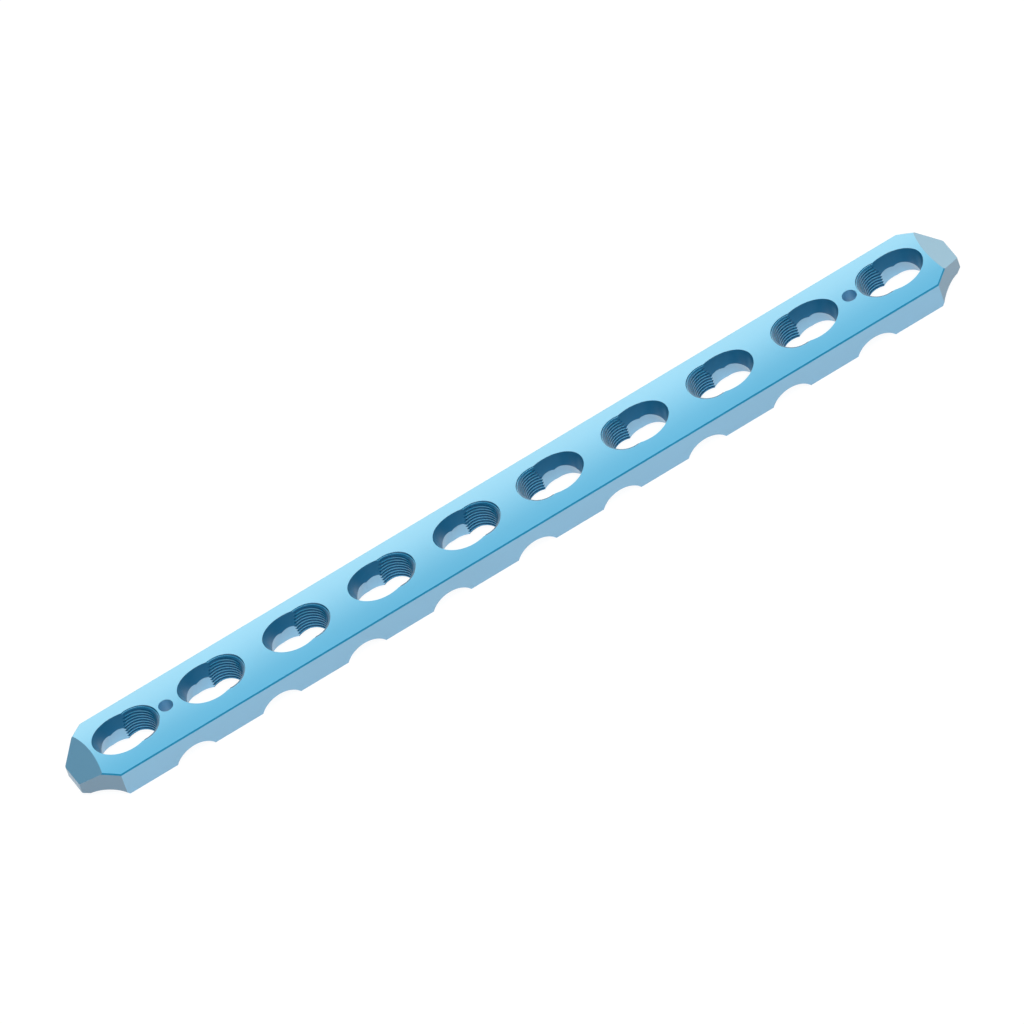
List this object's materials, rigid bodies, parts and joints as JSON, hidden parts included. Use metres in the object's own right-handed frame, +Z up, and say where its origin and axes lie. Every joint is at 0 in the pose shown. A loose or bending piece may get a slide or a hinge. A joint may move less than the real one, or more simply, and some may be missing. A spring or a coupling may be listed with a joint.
{
  "type": "orthopedic bone plate",
  "caption": "Straight crowned titanium plate with a row of combined locking and compression screw holes, small wire holes and scalloped lower edges.",
  "frame": {"origin": "middle of the underside, level with the two long lower edges that the plate stands on", "axes": "+X along the plate, +Z up through the crowned side, +Y across it"},
  "size_m": [0.1342, 0.0114, 0.0048],
  "materials": {
    "anodised_titanium": "satin light-blue anodised titanium alloy"
  },
  "bodies": {
    "root": {"bone_plate": "anodised_titanium"}
  },
  "joints": []
}
